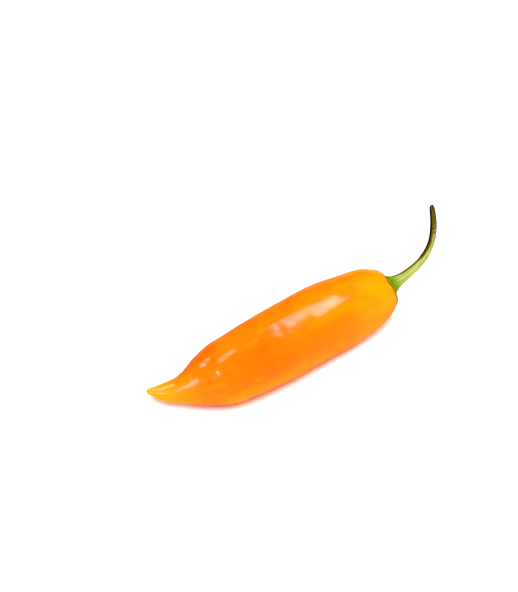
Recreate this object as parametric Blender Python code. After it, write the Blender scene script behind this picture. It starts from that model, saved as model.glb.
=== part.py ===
"""Aji amarillo: one ripe pod lying on its side, with its green calyx and curved stalk.

The pod grew as one piece, and the calyx and its stalk as another, so there are two objects.
The tip points to -X and the stalk rises at +X. The pod rests on z = 0 on a small flat spot,
and the origin is at the middle of that plane under the whole fruit.

Both objects are UV spheres, drawn out by a formula: each ring of the sphere becomes a ring
of the piece, from its first end to its last. A place on either piece is therefore given by
a distance along it, a radius and an angle round it. Angles start at the pod's left (+Y) and
go up over its top, so 90 degrees is the top and 270 degrees the underside.
"""
import functools
import math

import bmesh
import bpy
from mathutils import Vector
from mathutils.geometry import interpolate_bezier

MM = 0.001

# The pod's middle line as seen from above, a Bezier curve from tip to shoulder (mm)
SPINE_TIP = (-62.6, 7.6)
SPINE_TIP_HANDLE = (-37.0, -14.6)
SPINE_SHOULDER_HANDLE = (-8.6, 4.0)
SPINE_SHOULDER = (42.8, 4.3)
SPINE_STEPS = 200

# The pod's outline: distance along the middle line and radius there (mm)
POD_OUTLINE = [
    (0.0, 0.0),
    (0.3, 1.1),
    (2.5, 1.9),
    (8.0, 3.7),
    (13.5, 5.0),
    (19.0, 7.3),
    (25.0, 10.2),
    (31.0, 12.3),
    (39.0, 13.0),
    (52.0, 13.9),
    (68.0, 14.1),
    (84.0, 14.0),
    (98.0, 12.9),
    (108.0, 11.6),
    (113.2, 9.4),
    (115.4, 7.9),
    (116.3, 6.3),
    (116.8, 4.0),
    (116.8, 0.0),
]
POD_LENGTH = 118.0
POD_RINGS_PER_SPAN = 4
POD_SEGMENTS = 44

# The three seed chambers show as low lobes that turn slowly along the pod
LOBES = 3
LOBE_RELIEF = 0.018
LOBE_FIRST_TOP = 75.0
LOBE_TURN = 30.0

# Swellings and hollows of the wall: distance along (mm), angle, share of the radius,
# and how far each reaches along (mm) and round the pod (degrees)
SWELLS = [
    (31.0, 222.0, 0.018, 9.0, 40.0),
    (47.0, 222.0, -0.013, 9.0, 40.0),
    (94.0, 222.0, 0.034, 9.0, 40.0),
    (110.0, 222.0, -0.016, 7.0, 40.0),
    (113.0, 200.0, 0.03, 7.0, 40.0),
    (20.0, 42.0, 0.03, 5.0, 40.0),
    (31.0, 42.0, -0.055, 8.0, 40.0),
    (58.0, 125.0, -0.035, 16.0, 22.0),
    (88.0, 100.0, 0.03, 10.0, 25.0),
    (100.0, 165.0, -0.03, 9.0, 25.0),
    (60.0, 20.0, -0.035, 18.0, 25.0),
    (80.0, 330.0, -0.03, 14.0, 30.0),
]

# How the pod lies: its tip and its shoulder end stand clear, the belly rests (mm)
TIP_LIFT = 4.8
TIP_LIFT_REACH = 62.0
SHOULDER_LIFT = 4.5
SHOULDER_LIFT_START = 72.0
# How far the belly is flattened where it touches
FLAT_DEPTH = 0.45
# The stretch of the outline that is body and not a closing end, and its smoothing
BODY_START = 2.5
BODY_END = 108.0
BODY_BLUR = 8.0
BLUR_STEPS = 4

# The calyx: a thin saucer pressed on the shoulder, with short teeth round its rim (mm)
CALYX_RADIUS = 7.6
CALYX_GAP = 0.4
CALYX_TEETH = 5
CALYX_FIRST_TOOTH = 52.0
TOOTH_LENGTH = 1.0
TOOTH_SHARPNESS = 3
TOOTH_UNEVENNESS = 0.35
CALYX_RIB_RELIEF = 0.15
# Rings of its underside, as shares of its radius
CALYX_UNDERSIDE = [0.35, 0.65, 0.88]
# Its upper face: share of the radius and height above the underside (mm)
CALYX_TOP = [(1.0, 0.3), (0.9, 0.4), (0.65, 0.4), (0.5, 0.6)]

# The stalk's middle line, in the upright plane through the pod's shoulder: out and up (mm)
STALK_ROOT = (0.0, -0.9)
STALK_HANDLE = (17.3, 2.8)
STALK_TOP_HANDLE = (22.9, 10.0)
STALK_TOP = (17.85, 31.8)
STALK_STEPS = 80
# The stalk's outline: distance from the shoulder and radius there (mm)
STALK_OUTLINE = [
    (1.7, 3.5),
    (2.6, 3.05),
    (3.7, 2.65),
    (5.4, 2.25),
    (7.6, 2.0),
    (10.4, 1.8),
    (15.4, 1.6),
    (20.4, 1.47),
    (25.4, 1.34),
    (30.4, 1.34),
    (34.4, 1.28),
    (38.4, 1.22),
    (42.4, 1.12),
    (43.8, 0.92),
    (44.4, 0.6),
]
STALK_RING_SPACING = 1.4
STALK_RIBS = 5
STALK_RIB_RELIEF = 0.06
STEM_SEGMENTS = 30

# Half the distance over which a middle line's direction is taken (mm)
SLOPE_STEP = 0.5

POD_COLOUR = (1.0, 0.27, 0.01)
POD_ROUGHNESS = 0.25
STEM_COLOUR = (0.27, 0.36, 0.07)
STEM_ROUGHNESS = 0.6


def remove_everything():
    """Empty the scene."""
    for item in list(bpy.data.objects):
        bpy.data.objects.remove(item, do_unlink=True)


def between(points, where):
    """The value at `where` on straight lines through (position, value) points."""
    if where <= points[0][0]:
        return points[0][1]
    for (start, low), (end, high) in zip(points, points[1:]):
        if where <= end:
            return low + (high - low) * (where - start) / (end - start)
    return points[-1][1]


def smooth_outline(points, steps):
    """A smooth line through (distance, radius) points, `steps` stretches to each gap.

    It is a Catmull-Rom curve, which bends most evenly where its points are unevenly spaced
    if it is timed by the square root of each gap. It crosses the axis squarely at its ends.
    """
    first = (points[1][0], -points[1][1])
    last = (points[-2][0], -points[-2][1])
    knots = [Vector(point) for point in [first, *points, last]]
    line = []
    for before, start, end, after in zip(knots, knots[1:], knots[2:], knots[3:]):
        gaps = [math.sqrt((b - a).length) for a, b in ((before, start), (start, end), (end, after))]
        leave = (start - before) / gaps[0] - (end - before) / (gaps[0] + gaps[1])
        leave += (end - start) / gaps[1]
        arrive = (end - start) / gaps[1] - (after - start) / (gaps[1] + gaps[2])
        arrive += (after - end) / gaps[2]
        handles = (start + leave * gaps[1] / 3, end - arrive * gaps[1] / 3)
        line.extend(interpolate_bezier(start, *handles, end, steps + 1)[:-1])
    line.append(knots[-2])
    return line


class Path:
    """A curve given by its points, read by the distance along it."""

    def __init__(self, points):
        self.points = points
        self.lengths = [0.0]
        for a, b in zip(points, points[1:]):
            self.lengths.append(self.lengths[-1] + (b - a).length)

    def at(self, distance):
        """The point there, on a straight run beyond either end."""
        lengths = self.lengths
        index = 1
        while index < len(lengths) - 1 and lengths[index] < distance:
            index += 1
        share = (distance - lengths[index - 1]) / (lengths[index] - lengths[index - 1])
        return self.points[index - 1].lerp(self.points[index], share)


def plan_path():
    """The pod's middle line as seen from above."""
    ends = [Vector((*point, 0.0)) for point in (
        SPINE_TIP, SPINE_TIP_HANDLE, SPINE_SHOULDER_HANDLE, SPINE_SHOULDER)]
    return Path(interpolate_bezier(*ends, SPINE_STEPS))


PLAN = plan_path()


def body_radius(along):
    """The pod's radius without its closing ends, evened out along the pod."""
    body = [point for point in POD_OUTLINE if BODY_START <= point[0] <= BODY_END]
    offsets = [BODY_BLUR * step / BLUR_STEPS for step in range(-BLUR_STEPS, BLUR_STEPS + 1)]
    return sum(between(body, along + offset) for offset in offsets) / len(offsets)


def lift(along):
    """How far the pod's underside stands clear of the surface it lies on."""
    tip = max(0.0, 1 - along / TIP_LIFT_REACH)
    shoulder = max(0.0, along - SHOULDER_LIFT_START) / (POD_LENGTH - SHOULDER_LIFT_START)
    return TIP_LIFT * tip ** 2 + SHOULDER_LIFT * shoulder ** 3


def spine(along):
    """The pod's middle line, as a point in space."""
    point = PLAN.at(along * PLAN.lengths[-1] / POD_LENGTH)
    point.z = body_radius(along) + lift(along) - FLAT_DEPTH
    return point


@functools.lru_cache(maxsize=None)
def pod_axes(along):
    """A place on the pod's middle line, with the directions forward, left and up there."""
    forward = (spine(along + SLOPE_STEP) - spine(along - SLOPE_STEP)).normalized()
    left = Vector((-forward.y, forward.x, 0.0)).normalized()
    return spine(along), forward, left, forward.cross(left)


def turn_between(a, b):
    """The smaller angle between two directions, in degrees."""
    return abs((a - b + 180) % 360 - 180)


def wall(along, angle):
    """The lobes and swellings there, as a factor on the pod's radius."""
    top = LOBE_FIRST_TOP + LOBE_TURN * along / POD_LENGTH
    factor = 1 + LOBE_RELIEF * math.cos(math.radians(LOBES * (angle - top)))
    for at, direction, share, length, width in SWELLS:
        reach = ((along - at) / length) ** 2 + (turn_between(angle, direction) / width) ** 2
        factor += share * math.exp(-reach)
    return factor


def pod_point(along, radius, angle):
    """A point on or over the pod's skin; one below the table is laid flat on it."""
    centre, _, left, up = pod_axes(along)
    turn = math.radians(angle)
    out = math.cos(turn) * left + math.sin(turn) * up
    point = centre + radius * wall(along, angle) * out
    point.z = max(point.z, 0.0)
    return point


def drawn_sphere(name, rings, segments):
    """A UV sphere with each of its rings redrawn by a function from angle to point."""
    mesh = bmesh.new()
    last = len(rings) - 1
    bmesh.ops.create_uvsphere(mesh, u_segments=segments, v_segments=last, radius=1)
    for vert in mesh.verts:
        from_top = math.acos(max(-1.0, min(1.0, vert.co.z))) / math.pi
        angle = math.degrees(math.atan2(vert.co.y, vert.co.x)) % 360
        vert.co = rings[last - round(from_top * last)](angle) * MM
    data = bpy.data.meshes.new(name)
    mesh.to_mesh(data)
    mesh.free()
    data.shade_smooth()
    return bpy.data.objects.new(name, data)


def make_pod():
    """The pod, from the point of its tip to the middle of its shoulder."""
    rings = [
        functools.partial(pod_point, along, radius)
        for along, radius in smooth_outline(POD_OUTLINE, POD_RINGS_PER_SPAN)
    ]
    return drawn_sphere("pod", rings, POD_SEGMENTS)


def shoulder_outline():
    """The pod's shoulder under the calyx, as (radius, distance along) from its middle out."""
    line = smooth_outline(POD_OUTLINE, POD_RINGS_PER_SPAN)
    return [(radius, along) for along, radius in reversed(line) if along > BODY_END]


SHOULDER = shoulder_outline()


def calyx_point(share, height, angle):
    """A point of the calyx, by its share of the radius and height over the underside."""
    turn = CALYX_TEETH * (angle - CALYX_FIRST_TOOTH)
    tooth = max(0.0, math.cos(math.radians(turn))) ** TOOTH_SHARPNESS
    length = TOOTH_LENGTH * (1 + TOOTH_UNEVENNESS * math.cos(math.radians(2 * angle)))
    radius = share * (CALYX_RADIUS + length * tooth * share ** 2)
    rib = CALYX_RIB_RELIEF * tooth if height > 0 else 0.0
    return pod_point(between(SHOULDER, radius) + CALYX_GAP + height + rib, radius, angle)


def stalk_path():
    """The stalk's middle line, rising in the upright plane through the shoulder."""
    start, forward, _, _ = pod_axes(SHOULDER[0][1] + CALYX_GAP)
    outward = Vector((forward.x, forward.y, 0.0)).normalized()
    upward = Vector((0.0, 0.0, 1.0))
    ends = []
    for out, up in (STALK_ROOT, STALK_HANDLE, STALK_TOP_HANDLE, STALK_TOP):
        ends.append(start + out * outward + up * upward)
    return Path(interpolate_bezier(*ends, STALK_STEPS))


STALK = stalk_path()


def stalk_point(along, radius, angle):
    """A point of the ribbed stalk."""
    forward = (STALK.at(along + SLOPE_STEP) - STALK.at(along - SLOPE_STEP)).normalized()
    left = pod_axes(SHOULDER[0][1])[2]
    turn = math.radians(angle)
    out = math.cos(turn) * left + math.sin(turn) * forward.cross(left)
    rib = math.cos(math.radians(STALK_RIBS * angle))
    return STALK.at(along) + radius * (1 + STALK_RIB_RELIEF * rib) * out


def make_stem():
    """The calyx and stalk, from the middle of its underside out, round and up to the cut."""
    rings = [functools.partial(calyx_point, 0.0, 0.0)]
    rings += [functools.partial(calyx_point, share, 0.0) for share in CALYX_UNDERSIDE]
    rings += [functools.partial(calyx_point, share, height) for share, height in CALYX_TOP]
    start, end = STALK_OUTLINE[0][0], STALK_OUTLINE[-1][0]
    steps = round((end - start) / STALK_RING_SPACING)
    for step in range(steps + 1):
        along = start + (end - start) * step / steps
        rings.append(functools.partial(stalk_point, along, between(STALK_OUTLINE, along)))
    rings.append(functools.partial(stalk_point, end, 0.0))
    return drawn_sphere("stem", rings, STEM_SEGMENTS)


def give_material(piece, colour, roughness):
    """Give the piece its own Principled material."""
    material = bpy.data.materials.new(piece.name + "_skin")
    material.use_nodes = True
    shader = material.node_tree.nodes["Principled BSDF"]
    shader.inputs["Base Color"].default_value = (*colour, 1.0)
    shader.inputs["Roughness"].default_value = roughness
    shader.inputs["Metallic"].default_value = 0.0
    material.diffuse_color = (*colour, 1.0)
    piece.data.materials.append(material)


def main():
    """Build the fruit in a collection of its own."""
    remove_everything()
    collection = bpy.data.collections.new("aji_amarillo")
    bpy.context.scene.collection.children.link(collection)
    pod = make_pod()
    stem = make_stem()
    give_material(pod, POD_COLOUR, POD_ROUGHNESS)
    give_material(stem, STEM_COLOUR, STEM_ROUGHNESS)
    for piece in (pod, stem):
        collection.objects.link(piece)


main()
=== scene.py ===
"""The looks of the aji amarillo: a glossy, waxy orange pod and its green calyx and stalk.

The two CAD nodes are replaced by finer pieces of nearly the same form, with the small
unevenness of a real wall. The driving dimensions below repeat those of the part, in
millimetres, except where a comment says otherwise. A place on either piece is a distance
along it, a radius and an angle round it: 0 degrees is the pod's left (+Y), 90 its top.

Distances along the pod are nominal. POD_LENGTH of them span its whole middle line as seen
from above, which measures 108.5 mm. Distances along the stalk are true millimetres.
"""
import functools
import math

import bmesh
import bpy
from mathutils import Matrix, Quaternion, Vector, noise
from mathutils.geometry import interpolate_bezier


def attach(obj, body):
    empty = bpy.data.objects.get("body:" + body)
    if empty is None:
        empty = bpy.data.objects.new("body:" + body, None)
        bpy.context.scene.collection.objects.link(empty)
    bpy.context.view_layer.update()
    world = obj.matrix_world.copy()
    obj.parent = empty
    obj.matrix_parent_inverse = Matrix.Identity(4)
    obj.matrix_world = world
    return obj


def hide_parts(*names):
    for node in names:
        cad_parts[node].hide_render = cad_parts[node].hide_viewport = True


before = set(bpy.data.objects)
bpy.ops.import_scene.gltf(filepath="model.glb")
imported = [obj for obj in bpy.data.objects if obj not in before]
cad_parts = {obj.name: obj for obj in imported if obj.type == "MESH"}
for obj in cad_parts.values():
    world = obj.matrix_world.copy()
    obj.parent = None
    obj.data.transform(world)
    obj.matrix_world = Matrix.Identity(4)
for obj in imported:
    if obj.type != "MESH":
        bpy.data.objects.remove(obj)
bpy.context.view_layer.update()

MM = 0.001

# The pod's middle line as seen from above, a Bezier curve from tip to shoulder
SPINE_TIP = (-62.6, 7.6)
SPINE_TIP_HANDLE = (-37.0, -14.6)
SPINE_SHOULDER_HANDLE = (-8.6, 4.0)
SPINE_SHOULDER = (42.8, 4.3)
SPINE_STEPS = 200
# Distance along and radius there. The second and third radii are slimmer than the part's
POD_OUTLINE = [
    (0.0, 0.0),
    (0.3, 0.85),
    (2.5, 1.75),
    (8.0, 3.7),
    (13.5, 5.0),
    (19.0, 7.3),
    (25.0, 10.2),
    (31.0, 12.3),
    (39.0, 13.0),
    (52.0, 13.9),
    (68.0, 14.1),
    (84.0, 14.0),
    (98.0, 12.9),
    (108.0, 11.6),
    (113.2, 9.4),
    (115.4, 7.9),
    (116.3, 6.3),
    (116.8, 4.0),
    (116.8, 0.0),
]
POD_LENGTH = 118.0
# Low lobes that turn slowly along the pod
LOBES = 3
LOBE_RELIEF = 0.018
LOBE_FIRST_TOP = 75.0
LOBE_TURN = 30.0
# Swellings and hollows: distance along, angle, share of the radius, and how far each
# reaches along and round the pod (degrees)
SWELLS = [
    (31.0, 222.0, 0.018, 9.0, 40.0),
    (47.0, 222.0, -0.013, 9.0, 40.0),
    (94.0, 222.0, 0.034, 9.0, 40.0),
    (110.0, 222.0, -0.016, 7.0, 40.0),
    (113.0, 200.0, 0.03, 7.0, 40.0),
    (20.0, 42.0, 0.03, 5.0, 40.0),
    (31.0, 42.0, -0.055, 8.0, 40.0),
    (58.0, 125.0, -0.035, 16.0, 22.0),
    (88.0, 100.0, 0.03, 10.0, 25.0),
    (100.0, 165.0, -0.03, 9.0, 25.0),
    (60.0, 20.0, -0.035, 18.0, 25.0),
    (80.0, 330.0, -0.03, 14.0, 30.0),
]
# How the pod lies: its tip and its shoulder end stand clear, the belly is pressed flat
TIP_LIFT = 4.8
TIP_LIFT_REACH = 62.0
SHOULDER_LIFT = 4.5
SHOULDER_LIFT_START = 72.0
FLAT_DEPTH = 0.45
# The stretch of the outline that is body and not a closing end, and its smoothing
BODY_START = 2.5
BODY_END = 108.0
BODY_BLUR = 8.0
BLUR_STEPS = 4

# The calyx: a thin toothed saucer. It lies closer on the skin here than in the part
CALYX_RADIUS = 7.6
CALYX_GAP = 0.4
CALYX_TEETH = 5
CALYX_FIRST_TOOTH = 52.0
TOOTH_LENGTH = 1.0
TOOTH_SHARPNESS = 3
TOOTH_UNEVENNESS = 0.35
CALYX_RIB_RELIEF = 0.15
# Shares of its radius and heights over CALYX_GAP, from the middle out and back over the top
CALYX_UNDERSIDE = [(0.2, -0.2), (0.4, -0.3), (0.6, -0.33), (0.8, -0.35), (0.99, -0.35)]
CALYX_TOP = [(1.0, -0.25), (0.93, -0.1), (0.8, 0.05), (0.65, 0.2), (0.5, 0.4)]

# The stalk's middle line, in the upright plane through the shoulder: out and up
STALK_ROOT = (0.0, -0.9)
STALK_HANDLE = (17.3, 2.8)
STALK_TOP_HANDLE = (22.9, 10.0)
STALK_TOP = (17.85, 31.8)
STALK_STEPS = 80
# Distance along and radius there
STALK_OUTLINE = [
    (1.7, 3.5),
    (2.6, 3.05),
    (3.7, 2.65),
    (5.4, 2.25),
    (7.6, 2.0),
    (10.4, 1.8),
    (15.4, 1.6),
    (20.4, 1.47),
    (25.4, 1.34),
    (30.4, 1.34),
    (34.4, 1.28),
    (38.4, 1.22),
    (42.4, 1.12),
    (43.8, 0.92),
    (44.4, 0.6),
]
STALK_RIBS = 5
STALK_RIB_RELIEF = 0.06
# Half the distance over which a middle line's direction is taken
SLOPE_STEP = 0.5

# How finely the pieces are drawn here
POD_RINGS_PER_SPAN = 14
POD_SEGMENTS = 168
STALK_RING_SPACING = 0.35
STEM_SEGMENTS = 90
CALYX_RINGS_PER_SPAN = 4

# The unevenness of a real wall: height and breadth of its waves (mm), which run lengthways
WAVES = [(0.14, 11.0), (0.06, 5.0)]
WAVE_STRETCH = 1.6
# They are full from this radius up. Towards the pod's end they fade out over a stretch
# that stops a margin short of it
WAVE_FULL_RADIUS = 6.0
WAVE_END_FADE = 8.0
WAVE_END_MARGIN = 4.0
# Patches of puckered skin: distance along, angle, height (mm), and how far each reaches
# along and round the pod (degrees)
PUCKERS = [
    (57.0, 108.0, 0.16, 6.0, 20.0),
    (72.0, 122.0, 0.06, 8.0, 20.0),
    (26.0, 120.0, 0.10, 9.0, 30.0),
    (40.0, 300.0, 0.08, 16.0, 50.0),
    (80.0, 30.0, 0.10, 18.0, 40.0),
]
PUCKER_BREADTH = 2.4

# The camera looks at this point from this far off (m), turned and tilted by these degrees
CAMERA_AIM = (-0.0105, 0.0143, 0.0252)
CAMERA_DISTANCE = 0.6
CAMERA_AZIMUTH = -30.0
CAMERA_ELEVATION = 42.0
# Lens and sensor (mm), and how near the camera starts to see (m)
CAMERA_LENS = 96.5
CAMERA_SENSOR = 36.0
CAMERA_CLIP = 0.01

# The table: its size (m), grey level and roughness
FLOOR_SIZE = 40.0
FLOOR_LEVEL = 0.95
FLOOR_ROUGHNESS = 0.7

# How far the lamps are from the origin (m)
LAMP_DISTANCE = 0.9
# The key light: azimuth and elevation (degrees), strength and breadth (degrees)
KEY = (240.0, 66.0, 4.4, 29.0)
# Brightness of the surroundings: sine of the elevation and level. They are white where
# the floor meets them, and dimmer overhead
SKY = [(0.12, 1.0), (0.4, 0.6)]
# Bright panels that only the gloss mirrors: azimuth and elevation (degrees), size (m),
# radiance and roll (degrees)
GLOSS_PANELS = [
    ("overhead", -0.7, 61.2, (0.265, 0.184), 58.0, 13.9),
    ("overhead_near", -23.8, 54.0, (0.327, 0.188), 66.0, 50.0),
    ("overhead_far", 26.2, 64.1, (0.068, 0.205), 35.0, -5.7),
    ("zenith", 188.3, 77.0, (0.57, 0.19), 40.0, -84.3),
    ("left_low", 182.0, 11.6, (0.46, 0.15), 55.0, 0.0),
    ("left_high", 147.0, 36.5, (0.42, 0.09), 75.0, -10.0),
    ("front_left", 221.6, 29.8, (0.178, 0.126), 90.0, -16.9),
]


def between(points, where):
    """The value at `where` on straight lines through (position, value) points."""
    if where <= points[0][0]:
        return points[0][1]
    for (start, low), (end, high) in zip(points, points[1:]):
        if where <= end:
            return low + (high - low) * (where - start) / (end - start)
    return points[-1][1]


def smooth_outline(points, steps):
    """A smooth line through (distance, radius) points, `steps` stretches to each gap."""
    first = (points[1][0], -points[1][1])
    last = (points[-2][0], -points[-2][1])
    knots = [Vector(point) for point in [first, *points, last]]
    line = []
    for before, start, end, after in zip(knots, knots[1:], knots[2:], knots[3:]):
        pairs = ((before, start), (start, end), (end, after))
        gaps = [math.sqrt((b - a).length) for a, b in pairs]
        leave = (start - before) / gaps[0] - (end - before) / (gaps[0] + gaps[1])
        leave += (end - start) / gaps[1]
        arrive = (end - start) / gaps[1] - (after - start) / (gaps[1] + gaps[2])
        arrive += (after - end) / gaps[2]
        handles = (start + leave * gaps[1] / 3, end - arrive * gaps[1] / 3)
        line.extend(interpolate_bezier(start, *handles, end, steps + 1)[:-1])
    line.append(knots[-2])
    return line


class Path:
    """A curve given by its points, read by the distance along it."""

    def __init__(self, points):
        self.points = points
        self.lengths = [0.0]
        for a, b in zip(points, points[1:]):
            self.lengths.append(self.lengths[-1] + (b - a).length)

    def at(self, distance):
        """The point there, on a straight run beyond either end."""
        lengths = self.lengths
        index = 1
        while index < len(lengths) - 1 and lengths[index] < distance:
            index += 1
        share = (distance - lengths[index - 1]) / (lengths[index] - lengths[index - 1])
        return self.points[index - 1].lerp(self.points[index], share)


def plan_path():
    """The pod's middle line as seen from above."""
    ends = [Vector((*point, 0.0)) for point in (
        SPINE_TIP, SPINE_TIP_HANDLE, SPINE_SHOULDER_HANDLE, SPINE_SHOULDER)]
    return Path(interpolate_bezier(*ends, SPINE_STEPS))


PLAN = plan_path()


def body_radius(along):
    """The pod's radius without its closing ends, evened out along the pod."""
    body = [point for point in POD_OUTLINE if BODY_START <= point[0] <= BODY_END]
    offsets = [BODY_BLUR * step / BLUR_STEPS for step in range(-BLUR_STEPS, BLUR_STEPS + 1)]
    return sum(between(body, along + offset) for offset in offsets) / len(offsets)


def lift(along):
    """How far the pod's underside stands clear of the surface it lies on."""
    tip = max(0.0, 1 - along / TIP_LIFT_REACH)
    shoulder = max(0.0, along - SHOULDER_LIFT_START) / (POD_LENGTH - SHOULDER_LIFT_START)
    return TIP_LIFT * tip ** 2 + SHOULDER_LIFT * shoulder ** 3


def spine(along):
    """The pod's middle line, as a point in space."""
    point = PLAN.at(along * PLAN.lengths[-1] / POD_LENGTH)
    point.z = body_radius(along) + lift(along) - FLAT_DEPTH
    return point


@functools.lru_cache(maxsize=None)
def pod_axes(along):
    """A place on the pod's middle line, with the directions forward, left and up there."""
    forward = (spine(along + SLOPE_STEP) - spine(along - SLOPE_STEP)).normalized()
    left = Vector((-forward.y, forward.x, 0.0)).normalized()
    return spine(along), forward, left, forward.cross(left)


def turn_between(a, b):
    """The smaller angle between two directions, in degrees."""
    return abs((a - b + 180) % 360 - 180)


def wall(along, angle):
    """The lobes and swellings there, as a factor on the pod's radius."""
    top = LOBE_FIRST_TOP + LOBE_TURN * along / POD_LENGTH
    factor = 1 + LOBE_RELIEF * math.cos(math.radians(LOBES * (angle - top)))
    for at, direction, share, length, width in SWELLS:
        reach = ((along - at) / length) ** 2 + (turn_between(angle, direction) / width) ** 2
        factor += share * math.exp(-reach)
    return factor


def pod_point(along, radius, angle):
    """A point on or over the pod's skin, without its fine waves."""
    centre, _, left, up = pod_axes(along)
    turn = math.radians(angle)
    out = math.cos(turn) * left + math.sin(turn) * up
    point = centre + radius * wall(along, angle) * out
    point.z = max(point.z, 0.0)
    return point


def waves(along, radius, angle):
    """The height of the wall's waves and puckers."""
    turn = math.radians(angle)
    where = Vector((radius * math.cos(turn), radius * math.sin(turn), along / WAVE_STRETCH))
    height = sum(height * noise.noise(where / breadth) for height, breadth in WAVES)
    depth = 0.0
    for at, direction, deep, length, width in PUCKERS:
        reach = ((along - at) / length) ** 2 + (turn_between(angle, direction) / width) ** 2
        depth += deep * math.exp(-reach)
    return height + depth * noise.noise(where / PUCKER_BREADTH)


def wavy_pod_point(along, radius, angle):
    """A point of the pod's skin with its waves, which fade out towards both its ends."""
    point = pod_point(along, radius, angle)
    centre = pod_axes(along)[0]
    to_end = max(0.0, (POD_LENGTH - WAVE_END_MARGIN - along) / WAVE_END_FADE)
    fade = min(1.0, radius / WAVE_FULL_RADIUS) * min(1.0, to_end)
    out = (point - centre).normalized() if radius > 0 else Vector((0.0, 0.0, 0.0))
    point += fade * waves(along, radius, angle) * out
    point.z = max(point.z, 0.0)
    return point


def drawn_sphere(name, rings, segments):
    """A UV sphere with each ring redrawn. Rings are (distance along, point by angle).

    Each vertex keeps its place for the material: the cosine and sine of its angle and its
    distance along.
    """
    mesh = bmesh.new()
    last = len(rings) - 1
    bmesh.ops.create_uvsphere(mesh, u_segments=segments, v_segments=last, radius=1)
    place = mesh.verts.layers.float_vector.new("place")
    for vert in mesh.verts:
        from_top = math.acos(max(-1.0, min(1.0, vert.co.z))) / math.pi
        turn = math.atan2(vert.co.y, vert.co.x)
        along, point_at = rings[last - round(from_top * last)]
        vert[place] = (math.cos(turn), math.sin(turn), along)
        vert.co = point_at(math.degrees(turn) % 360) * MM
    data = bpy.data.meshes.new(name)
    mesh.to_mesh(data)
    mesh.free()
    data.shade_smooth()
    piece = bpy.data.objects.new(name, data)
    bpy.context.scene.collection.objects.link(piece)
    return piece


def make_pod():
    """The pod, from the point of its tip to the middle of its shoulder."""
    rings = [
        (along, functools.partial(wavy_pod_point, along, radius))
        for along, radius in smooth_outline(POD_OUTLINE, POD_RINGS_PER_SPAN)
    ]
    return drawn_sphere("pod_skin", rings, POD_SEGMENTS)


def shoulder_outline():
    """The pod's shoulder under the calyx, as (radius, distance along) from its middle out."""
    line = smooth_outline(POD_OUTLINE, POD_RINGS_PER_SPAN)
    return [(radius, along) for along, radius in reversed(line) if along > BODY_END]


SHOULDER = shoulder_outline()


def calyx_point(share, height, angle):
    """A point of the calyx, by its share of the radius and height over CALYX_GAP."""
    turn = CALYX_TEETH * (angle - CALYX_FIRST_TOOTH)
    tooth = max(0.0, math.cos(math.radians(turn))) ** TOOTH_SHARPNESS
    length = TOOTH_LENGTH * (1 + TOOTH_UNEVENNESS * math.cos(math.radians(2 * angle)))
    radius = share * (CALYX_RADIUS + length * tooth * share ** 2)
    rib = CALYX_RIB_RELIEF * tooth if height > 0 else 0.0
    return pod_point(between(SHOULDER, radius) + CALYX_GAP + height + rib, radius, angle)


def stalk_path():
    """The stalk's middle line, rising in the upright plane through the shoulder."""
    start, forward, _, _ = pod_axes(SHOULDER[0][1] + CALYX_GAP)
    outward = Vector((forward.x, forward.y, 0.0)).normalized()
    upward = Vector((0.0, 0.0, 1.0))
    ends = []
    for out, up in (STALK_ROOT, STALK_HANDLE, STALK_TOP_HANDLE, STALK_TOP):
        ends.append(start + out * outward + up * upward)
    return Path(interpolate_bezier(*ends, STALK_STEPS))


STALK = stalk_path()


def stalk_point(along, radius, angle):
    """A point of the ribbed stalk."""
    forward = (STALK.at(along + SLOPE_STEP) - STALK.at(along - SLOPE_STEP)).normalized()
    left = pod_axes(SHOULDER[0][1])[2]
    turn = math.radians(angle)
    out = math.cos(turn) * left + math.sin(turn) * forward.cross(left)
    rib = math.cos(math.radians(STALK_RIBS * angle))
    return STALK.at(along) + radius * (1 + STALK_RIB_RELIEF * rib) * out


def finer(points, steps):
    """The same run of (share, height) points with `steps` straight stretches to each gap."""
    run = []
    for (a, b), (c, d) in zip(points, points[1:]):
        run += [(a + (c - a) * k / steps, b + (d - b) * k / steps) for k in range(steps)]
    return run + [points[-1]]


def make_stem():
    """The calyx and stalk. On the calyx the distance along is minus the one from its middle."""
    rings = [(0.0, functools.partial(calyx_point, 0.0, 0.0))]
    for share, height in CALYX_UNDERSIDE:
        rings.append((-share * CALYX_RADIUS, functools.partial(calyx_point, share, height)))
    for share, height in finer(CALYX_TOP, CALYX_RINGS_PER_SPAN):
        rings.append((-share * CALYX_RADIUS, functools.partial(calyx_point, share, height)))
    start, end = STALK_OUTLINE[0][0], STALK_OUTLINE[-1][0]
    steps = round((end - start) / STALK_RING_SPACING)
    for step in range(steps + 1):
        along = start + (end - start) * step / steps
        radius = between(STALK_OUTLINE, along)
        rings.append((along, functools.partial(stalk_point, along, radius)))
    rings.append((end, functools.partial(stalk_point, end, 0.0)))
    return drawn_sphere("calyx_and_stalk", rings, STEM_SEGMENTS)


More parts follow.
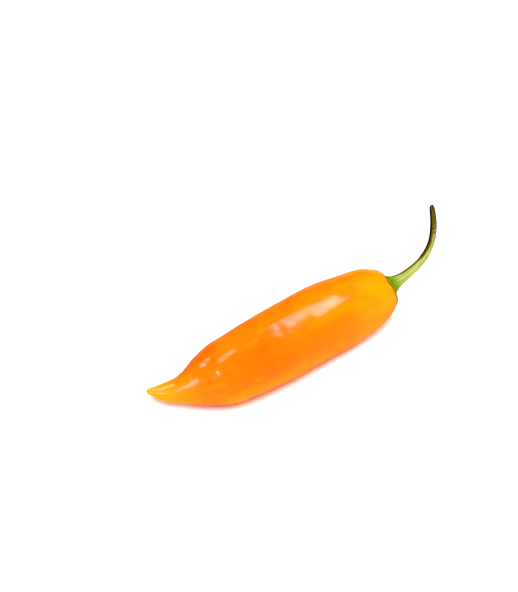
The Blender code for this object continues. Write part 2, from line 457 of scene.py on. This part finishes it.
class Nodes:
    """A new material, and short ways to add nodes to it and join them."""

    def __init__(self, name):
        self.material = bpy.data.materials.new(name)
        self.material.use_nodes = True
        self.tree = self.material.node_tree
        self.shader = self.tree.nodes["Principled BSDF"]

    def add(self, kind, settings=(), **inputs):
        """A node of this kind. An input is a value or another node's output."""
        node = self.tree.nodes.new(kind)
        for name, value in dict(settings).items():
            setattr(node, name, value)
        for name, value in inputs.items():
            self.put(node.inputs[name.replace("_", " ")], value)
        return node

    def put(self, socket, value):
        """Set a socket, or join an output to it."""
        if isinstance(value, bpy.types.NodeSocket):
            self.tree.links.new(value, socket)
        else:
            socket.default_value = value

    def math(self, operation, *values):
        """The output of a Math node."""
        node = self.tree.nodes.new("ShaderNodeMath")
        node.operation = operation
        for socket, value in zip(node.inputs, values):
            self.put(socket, value)
        return node.outputs[0]

    def mix(self, share, first, second, blend="MIX"):
        """One colour over another by a share."""
        node = self.tree.nodes.new("ShaderNodeMix")
        node.data_type = "RGBA"
        node.blend_type = blend
        self.put(node.inputs["Factor"], share)
        self.put(node.inputs["A"], first)
        self.put(node.inputs["B"], second)
        colour = [socket for socket in node.outputs if socket.type == "RGBA"]
        return colour[0]

    def ramp(self, value, stops):
        """The colour or grey at a value, from (position, colour) stops."""
        node = self.tree.nodes.new("ShaderNodeValToRGB")
        node.color_ramp.interpolation = "EASE"
        stop = node.color_ramp.elements
        while len(stop) < len(stops):
            stop.new(0.5)
        for element, (position, colour) in zip(stop, stops):
            element.position = position
            element.color = colour
        self.put(node.inputs["Fac"], value)
        return node.outputs["Color"]

    def shade(self, settings):
        """Set the shader's own values."""
        for name, value in settings.items():
            self.put(self.shader.inputs[name], value)

    def facing(self, cosine, sine, angle):
        """The cosine of the turn from an angle round the piece."""
        turn = math.radians(angle)
        part = self.math("MULTIPLY", cosine, math.cos(turn))
        return self.math("MULTIPLY_ADD", sine, math.sin(turn), part)

    def place(self):
        """The cosine and sine of the angle, and the distance along."""
        node = self.add("ShaderNodeAttribute", {"attribute_name": "place"})
        parts = self.add("ShaderNodeSeparateXYZ", Vector=node.outputs["Vector"])
        return parts.outputs["X"], parts.outputs["Y"], parts.outputs["Z"]

    def vector(self, x, y, z):
        """A vector from three values."""
        return self.add("ShaderNodeCombineXYZ", X=x, Y=y, Z=z).outputs["Vector"]

    def noise(self, where, scale, detail):
        """A noise value from 0 to 1."""
        node = self.add("ShaderNodeTexNoise", Vector=where, Scale=scale, Detail=detail)
        return node.outputs["Fac"]


def rgb(red, green, blue):
    """A colour with full alpha."""
    return (red, green, blue, 1.0)


def grey(value):
    """A grey with full alpha."""
    return (value, value, value, 1.0)


# Linear colours of the ripe skin along the pod: distance and colour
SKIN_COLOURS = [
    (0.0, rgb(0.30, 0.13, 0.020)),
    (0.9, rgb(0.80, 0.27, 0.006)),
    (8.0, rgb(0.84, 0.235, 0.002)),
    (16.0, rgb(0.86, 0.18, 0.001)),
    (23.0, rgb(0.87, 0.13, 0.001)),
    (31.0, rgb(0.87, 0.12, 0.001)),
    (46.0, rgb(0.87, 0.108, 0.001)),
    (62.0, rgb(0.87, 0.14, 0.001)),
    (84.0, rgb(0.87, 0.16, 0.001)),
    (97.0, rgb(0.88, 0.235, 0.001)),
    (112.0, rgb(0.88, 0.245, 0.001)),
]
SKIN_DEEP = rgb(0.85, 0.085, 0.001)
SKIN_LIGHT = rgb(0.88, 0.24, 0.001)
# Soft deeper and lighter patches, most of them painted shade and painted light: the angle they
# lie round, their half breadth (degrees), where they come and go along the pod, colour and
# strength
PAINTED_LIGHT_AND_TONE_PATCHES = [
    # Painted shade and red glow from neighbouring pods on the beak's root, partly the skin's
    # own deeper colour
    (64.0, 34.0, (12.0, 18.0, 27.0, 35.0), SKIN_DEEP, 0.9),
    (90.0, 30.0, (29.0, 35.0, 50.0, 58.0), SKIN_LIGHT, 0.2),
    # Painted shade from neighbouring pods along the far upper side
    (20.0, 48.0, (30.0, 46.0, 74.0, 90.0), SKIN_DEEP, 0.5),
    # Painted shade from neighbouring pods along the shoulder's far upper edge
    (68.0, 38.0, (86.0, 94.0, 107.0, 114.0), SKIN_DEEP, 0.4),
    # Painted shade along the middle of the belly, between its lit top and its lower edge
    (160.0, 26.0, (48.0, 58.0, 98.0, 106.0), SKIN_DEEP, 0.25),
    (198.0, 40.0, (82.0, 90.0, 106.0, 114.0), SKIN_DEEP, 0.22),
    # Painted reflection and bounce light of the white table along the lower edge
    (212.0, 42.0, (24.0, 31.0, 68.0, 84.0), SKIN_LIGHT, 0.6),
    # Painted sheen round the main highlight
    (112.0, 30.0, (60.0, 76.0, 95.0, 102.0), SKIN_LIGHT, 0.45),
    (300.0, 60.0, (30.0, 50.0, 80.0, 96.0), SKIN_LIGHT, 0.2),
]
# A patch is at full strength within this share of its half breadth
PATCH_CORE = 0.25
# Cloudy blotches: noise scale, noise levels where they start and are full, strength, colour
SKIN_BLOTCHES = [
    (1.6, (0.5, 0.75), 0.4, SKIN_DEEP),
    (3.4, (0.52, 0.75), 0.35, SKIN_LIGHT),
]
BLOTCH_DETAIL = 3.0
BLOTCH_STRETCH = 0.035
# The fine unevenness of the skin (m), and its waves to the metre along x, y and z
SKIN_GRAIN = 0.0001
GRAIN_WAVES = (210.0, 400.0, 400.0)
GRAIN_DETAIL = 2.0
# The gloss is all in the thin coat
SKIN_FINISH = {
    "Roughness": 0.5,
    "Specular IOR Level": 0.0,
    "Subsurface Weight": 0.3,
    "Subsurface Radius": (1.0, 0.35, 0.08),
    "Subsurface Scale": 0.003,
    "Coat Weight": 0.09,
    "Coat Roughness": 0.1,
}


def skin_material():
    """Ripe skin: waxy, glossy, deeper orange in its middle, yellower at both its ends, with
    painted shade and light.
    """
    m = Nodes("ripe_skin")
    cosine, sine, along = m.place()
    share = m.math("DIVIDE", along, POD_LENGTH)
    colour = m.ramp(share, [(at / POD_LENGTH, colour) for at, colour in SKIN_COLOURS])
    # Patches of painted shade and painted light, and others that only make the skin deeper or
    # lighter
    for angle, breadth, spans, shade, strength in PAINTED_LIGHT_AND_TONE_PATCHES:
        rim = math.cos(math.radians(breadth))
        core = math.cos(math.radians(PATCH_CORE * breadth))
        facing = m.facing(cosine, sine, angle)
        near = m.ramp(facing, [(rim, grey(0.0)), (core, grey(strength))])
        spread = zip(spans, (0.0, 1.0, 1.0, 0.0))
        fades = m.ramp(share, [(at / POD_LENGTH, grey(level)) for at, level in spread])
        colour = m.mix(m.math("MULTIPLY", near, fades), colour, shade)
    where = m.vector(cosine, sine, m.math("MULTIPLY", along, BLOTCH_STRETCH))
    for scale, (start, full), strength, shade in SKIN_BLOTCHES:
        cloud = m.noise(where, scale, BLOTCH_DETAIL)
        cover = m.ramp(cloud, [(start, grey(0.0)), (full, grey(strength))])
        colour = m.mix(cover, colour, shade)
    m.put(m.shader.inputs["Base Color"], colour)
    m.shade(SKIN_FINISH)
    spot = m.add("ShaderNodeTexCoord").outputs["Object"]
    spot = m.add("ShaderNodeMapping", Vector=spot, Scale=GRAIN_WAVES).outputs["Vector"]
    grain = m.noise(spot, 1.0, GRAIN_DETAIL)
    bump = m.add("ShaderNodeBump", Strength=1.0, Distance=SKIN_GRAIN, Height=grain)
    m.put(m.shader.inputs["Normal"], bump.outputs["Normal"])
    m.put(m.shader.inputs["Coat Normal"], bump.outputs["Normal"])
    return m.material


# Linear colours of the calyx and stalk: distance (mm, less than 0 on the calyx) and colour
STEM_COLOURS = [
    (-8.6, rgb(0.110, 0.035, 0.002)),
    (-7.4, rgb(0.200, 0.090, 0.003)),
    (-6.7, rgb(0.280, 0.200, 0.004)),
    (-5.6, rgb(0.220, 0.240, 0.003)),
    (-3.6, rgb(0.095, 0.180, 0.001)),
    (1.5, rgb(0.120, 0.225, 0.002)),
    (5.5, rgb(0.290, 0.340, 0.070)),
    (14.0, rgb(0.320, 0.370, 0.100)),
    (21.0, rgb(0.330, 0.330, 0.080)),
    (29.0, rgb(0.260, 0.230, 0.060)),
    (33.5, rgb(0.080, 0.070, 0.005)),
    (42.0, rgb(0.065, 0.060, 0.004)),
    (43.8, rgb(0.035, 0.018, 0.010)),
]
# The stalk's dark side, dried colour and painted shade: how wide it is along the stalk (mm)
DARK_SIDE = [(0.0, 0.1), (4.0, 0.2), (14.0, 0.3), (20.0, 0.68), (27.0, 0.9), (44.4, 1.0)]
# The angle round which it lies, how far its edge wanders, and the scale and detail of that
DARK_ANGLE = 66.0
DARK_WANDER = 0.18
DARK_NOISE = (3.0, 3.0)
# Its two colours, and the levels between which each comes in
DRY_AND_SHADED_OLIVE = rgb(0.110, 0.080, 0.002)
# The deepest painted shade, at the dark side's edge
NEAR_BLACK = rgb(0.006, 0.003, 0.002)
DRY_AND_SHADE_LEVELS = (0.53, 0.60)
BLACK_LEVELS = (0.64, 0.86)
# The scar ring of the stalk: distance (mm), colour and how much it covers
SCAR = [
    (30.4, rgb(0.30, 0.16, 0.07), 0.0),
    (31.3, rgb(0.05, 0.02, 0.01), 0.9),
    (32.2, rgb(0.42, 0.24, 0.14), 0.9),
    (33.2, rgb(0.05, 0.02, 0.01), 0.9),
    (34.2, rgb(0.22, 0.12, 0.04), 0.8),
    (35.6, rgb(0.10, 0.06, 0.01), 0.0),
]
# How far the scar's edges wander (mm), and the stretch, scale and detail of that noise
SCAR_WANDER = 1.2
SCAR_STRETCH = 0.3
SCAR_NOISE = (2.0, 2.0)
# The fibres: stretch, scale and detail of their noise, and its levels and their brightness
FIBRE_STRETCH = 0.06
FIBRE_NOISE = (5.0, 4.0)
FIBRE_LEVELS = [(0.35, 0.8), (0.65, 1.15)]
STEM_FINISH = {
    "Roughness": 0.5,
    "Specular IOR Level": 0.0,
    "Subsurface Weight": 0.1,
    "Subsurface Radius": (0.6, 0.8, 0.2),
    "Subsurface Scale": 0.0006,
}


def stem_share(along):
    """Where a distance along the calyx and stalk lies on a colour ramp."""
    first, last = STEM_COLOURS[0][0], STALK_OUTLINE[-1][0]
    return (along - first) / (last - first)


def stem_material():
    """Green stalk: bright at the calyx, pale along its middle, dark towards the cut, and dark
    down one side from drying and painted shade.
    """
    m = Nodes("green_stalk")
    cosine, sine, along = m.place()
    scale = stem_share(1.0) - stem_share(0.0)
    share = m.math("MULTIPLY_ADD", along, scale, stem_share(0.0))
    colour = m.ramp(share, [(stem_share(at), shade) for at, shade in STEM_COLOURS])
    # Fine lengthways fibres and soft blotches
    where = m.vector(cosine, sine, m.math("MULTIPLY", along, FIBRE_STRETCH))
    levels = [(at, grey(level)) for at, level in FIBRE_LEVELS]
    fibres = m.ramp(m.noise(where, *FIBRE_NOISE), levels)
    colour = m.mix(1.0, colour, fibres, "MULTIPLY")
    # The ring scar
    spot = m.vector(cosine, sine, m.math("MULTIPLY", along, SCAR_STRETCH))
    wander = SCAR_WANDER * scale
    shift = m.math("MULTIPLY_ADD", m.noise(spot, *SCAR_NOISE), 2 * wander, -wander)
    nearby = m.math("ADD", share, shift)
    scar = m.ramp(nearby, [(stem_share(at), shade) for at, shade, _ in SCAR])
    scarred = m.ramp(nearby, [(stem_share(at), grey(cover)) for at, _, cover in SCAR])
    colour = m.mix(scarred, colour, scar)
    # The dark side, dried colour and painted shade. Its sum reaches 2, so it is halved to fit a
    # ramp
    facing = m.facing(cosine, sine, DARK_ANGLE)
    uneven = m.noise(where, *DARK_NOISE)
    uneven = m.math("MULTIPLY_ADD", uneven, 2 * DARK_WANDER, -DARK_WANDER)
    width = m.ramp(share, [(stem_share(at), grey(wide)) for at, wide in DARK_SIDE])
    edge = m.math("ADD", m.math("ADD", facing, uneven), width)
    edge = m.math("MULTIPLY", edge, 0.5)
    dry_and_shade, black = [
        m.ramp(edge, [(start, grey(0.0)), (full, grey(1.0))])
        for start, full in (DRY_AND_SHADE_LEVELS, BLACK_LEVELS)
    ]
    colour = m.mix(dry_and_shade, colour, m.mix(black, DRY_AND_SHADED_OLIVE, NEAR_BLACK))
    m.put(m.shader.inputs["Base Color"], colour)
    m.shade(STEM_FINISH)
    return m.material


def add_piece(piece, node, material):
    """Let a piece stand for its CAD node."""
    piece.data.materials.append(material)
    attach(piece, "root")
    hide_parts(node)


def make_floor():
    """A plain white table, far wider than the view."""
    bpy.ops.mesh.primitive_plane_add(size=FLOOR_SIZE)
    floor = bpy.context.object
    floor.name = "floor"
    m = Nodes("white_table")
    m.shade({"Base Color": grey(FLOOR_LEVEL), "Roughness": FLOOR_ROUGHNESS})
    floor.data.materials.append(m.material)


def direction(azimuth, elevation):
    """The direction towards a place in the sky; azimuth 0 is +X and 90 is +Y."""
    a, e = math.radians(azimuth), math.radians(elevation)
    return Vector((math.cos(a) * math.cos(e), math.sin(a) * math.cos(e), math.sin(e)))


def add_panel(name, azimuth, elevation, size, radiance, roll):
    """A rectangular lamp that faces the pod and gives its gloss alone."""
    lamp = bpy.data.lights.new(name, "AREA")
    lamp.shape = "RECTANGLE"
    lamp.size, lamp.size_y = size
    lamp.energy = radiance * math.pi * size[0] * size[1]
    panel = bpy.data.objects.new(name, lamp)
    towards = direction(azimuth, elevation)
    panel.location = towards * LAMP_DISTANCE
    turned = towards.to_track_quat("Z", "Y") @ Quaternion((0.0, 0.0, 1.0), math.radians(roll))
    panel.rotation_euler = turned.to_euler()
    panel.visible_diffuse = False
    bpy.context.scene.collection.objects.link(panel)


def add_key(azimuth, elevation, strength, breadth):
    """The soft main light, as from a broad lamp far away, which the gloss doesn't mirror."""
    lamp = bpy.data.lights.new("key", "SUN")
    lamp.energy = strength
    lamp.angle = math.radians(breadth)
    key = bpy.data.objects.new("key", lamp)
    towards = direction(azimuth, elevation)
    key.location = towards * LAMP_DISTANCE
    key.rotation_euler = towards.to_track_quat("Z", "Y").to_euler()
    key.visible_glossy = False
    bpy.context.scene.collection.objects.link(key)


def light_studio():
    """Even white surroundings, which the gloss doesn't mirror, a key light and panels."""
    world = bpy.data.worlds.new("studio")
    world.use_nodes = True
    tree = world.node_tree
    place = tree.nodes.new("ShaderNodeTexCoord")
    parts = tree.nodes.new("ShaderNodeSeparateXYZ")
    ramp = tree.nodes.new("ShaderNodeValToRGB")
    for stop, (height, level) in zip(ramp.color_ramp.elements, SKY):
        stop.position, stop.color = height, grey(level)
    tree.links.new(place.outputs["Generated"], parts.inputs["Vector"])
    tree.links.new(parts.outputs["Z"], ramp.inputs["Fac"])
    tree.links.new(ramp.outputs["Color"], tree.nodes["Background"].inputs["Color"])
    world.cycles_visibility.glossy = False
    bpy.context.scene.world = world
    for name, azimuth, elevation, size, radiance, roll in GLOSS_PANELS:
        add_panel(name, azimuth, elevation, size, radiance, roll)
    add_key(*KEY)
    bpy.context.scene.view_settings.view_transform = "Standard"


def make_camera():
    """A camera that sees the pod as the photograph shows it."""
    data = bpy.data.cameras.new("camera")
    data.lens = CAMERA_LENS
    data.sensor_width = CAMERA_SENSOR
    data.clip_start = CAMERA_CLIP
    camera = bpy.data.objects.new("camera", data)
    back = direction(CAMERA_AZIMUTH - 90.0, CAMERA_ELEVATION)
    camera.location = Vector(CAMERA_AIM) + CAMERA_DISTANCE * back
    camera.rotation_euler = back.to_track_quat("Z", "Y").to_euler()
    bpy.context.scene.collection.objects.link(camera)
    bpy.context.scene.camera = camera


add_piece(make_pod(), "pod", skin_material())
add_piece(make_stem(), "stem", stem_material())
make_floor()
light_studio()
make_camera()
